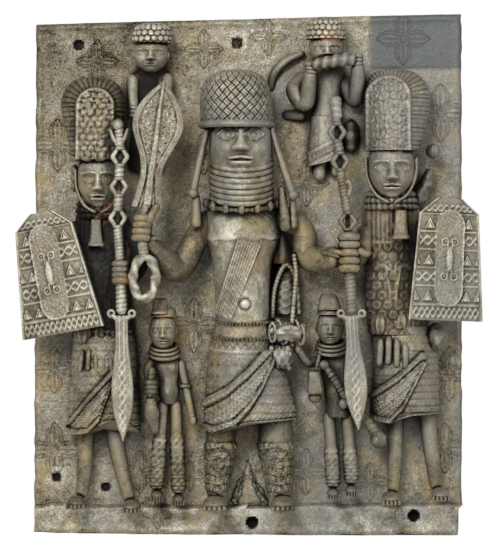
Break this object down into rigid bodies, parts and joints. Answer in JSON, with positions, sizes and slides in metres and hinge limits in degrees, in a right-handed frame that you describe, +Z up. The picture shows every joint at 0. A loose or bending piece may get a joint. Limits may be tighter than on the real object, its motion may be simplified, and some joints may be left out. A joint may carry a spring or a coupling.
{
  "type": "relief plaque",
  "caption": "Cast brass wall plaque in high relief: a chief with ringed collar and woven hat between shield bearers and small attendants, on a flat engraved ground with nail holes.",
  "frame": {"origin": "centre of the plate's flat back face, where it lies against the wall", "axes": "+Z up, +X to the viewer's right, +Y back into the wall; the relief stands out towards -Y"},
  "size_m": [0.4586, 0.0962, 0.5195],
  "materials": {
    "brass": "aged cast brass with grey-brown patina and earth in the hollows"
  },
  "bodies": {
    "root": {"plaque": "brass"}
  },
  "joints": []
}
